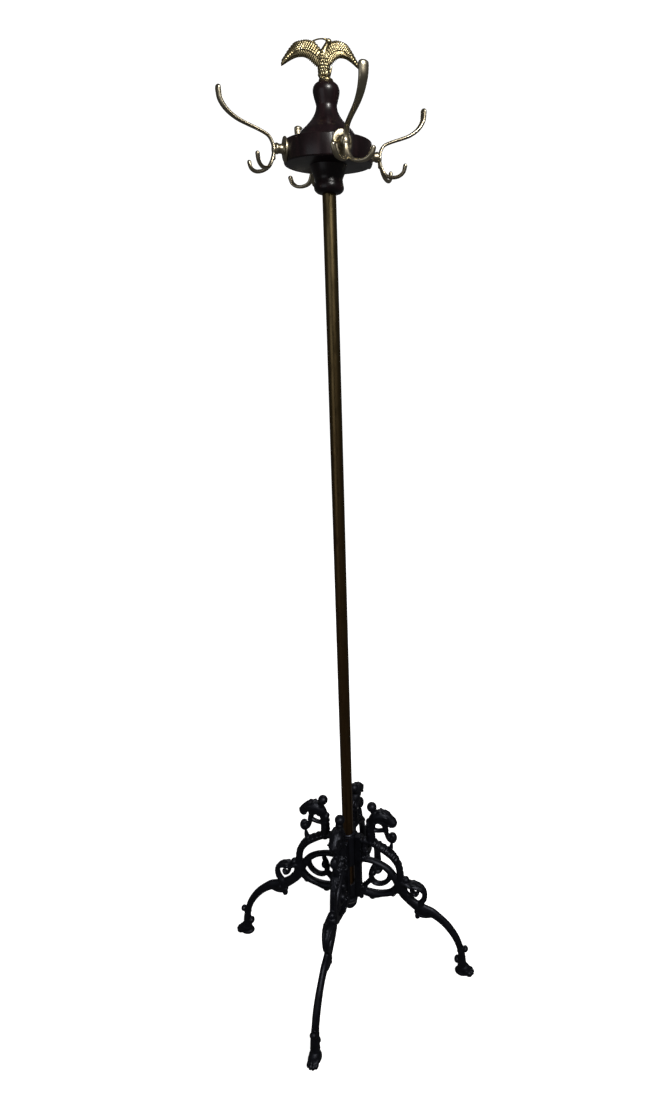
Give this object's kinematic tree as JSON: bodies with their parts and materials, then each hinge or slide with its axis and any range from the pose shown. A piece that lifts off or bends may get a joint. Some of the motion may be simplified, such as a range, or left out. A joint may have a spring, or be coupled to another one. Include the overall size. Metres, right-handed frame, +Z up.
{
  "type": "standing coat rack",
  "caption": "Tall standing coat rack: cast iron scroll legs with paw feet, thin brass pole, turned dark wood head with triple brass hooks and a spread-winged bird finial.",
  "frame": {"origin": "on the floor, on the pole's axis, midway between the four paws", "axes": "+Z up along the pole; the legs point along -Y (front), +X (right), +Y (back) and -X (left); the hooks are turned 35.2 degrees from the legs towards +X"},
  "size_m": [0.5524, 0.5524, 1.7542],
  "materials": {
    "leg_iron": "satin black paint over a sand-cast surface, bluish sheen, dusty in the recesses",
    "hub_iron": "satin black paint on machined casting",
    "leg_bolt": "blackened steel",
    "tube_brass": "aged brass tube, darker towards the base, fine lengthwise scratches",
    "steel": "plain",
    "dark_wood": "dark mahogany stain under gloss varnish",
    "hook_brass": "polished cast brass with a brown patina in the hollows",
    "screw_brass": "polished, slightly tarnished",
    "bird_brass": "antique cast brass, dark between the feathers"
  },
  "bodies": {
    "root": {"leg_front": "leg_iron", "leg_right": "leg_iron", "leg_back": "leg_iron", "leg_left": "leg_iron", "leg_bolt_front_lower": "leg_bolt", "leg_bolt_front_upper": "leg_bolt", "leg_bolt_right_lower": "leg_bolt", "leg_bolt_right_upper": "leg_bolt", "leg_bolt_back_lower": "leg_bolt", "leg_bolt_back_upper": "leg_bolt", "leg_bolt_left_lower": "leg_bolt", "leg_bolt_left_upper": "leg_bolt", "upper_hub": "hub_iron", "lower_hub": "hub_iron", "base_cap_nut": "hub_iron", "pole_tube": "tube_brass", "tie_rod": "steel", "base_washer": "steel", "ferrule": "dark_wood", "hook_drum": "dark_wood", "vase_turning": "dark_wood", "coat_hook_front": "hook_brass", "coat_hook_right": "hook_brass", "coat_hook_back": "hook_brass", "coat_hook_left": "hook_brass", "hook_screw_front_a": "screw_brass", "hook_screw_front_b": "screw_brass", "hook_screw_right_a": "screw_brass", "hook_screw_right_b": "screw_brass", "hook_screw_back_a": "screw_brass", "hook_screw_back_b": "screw_brass", "hook_screw_left_a": "screw_brass", "hook_screw_left_b": "screw_brass", "bird_finial": "bird_brass"}
  },
  "joints": []
}
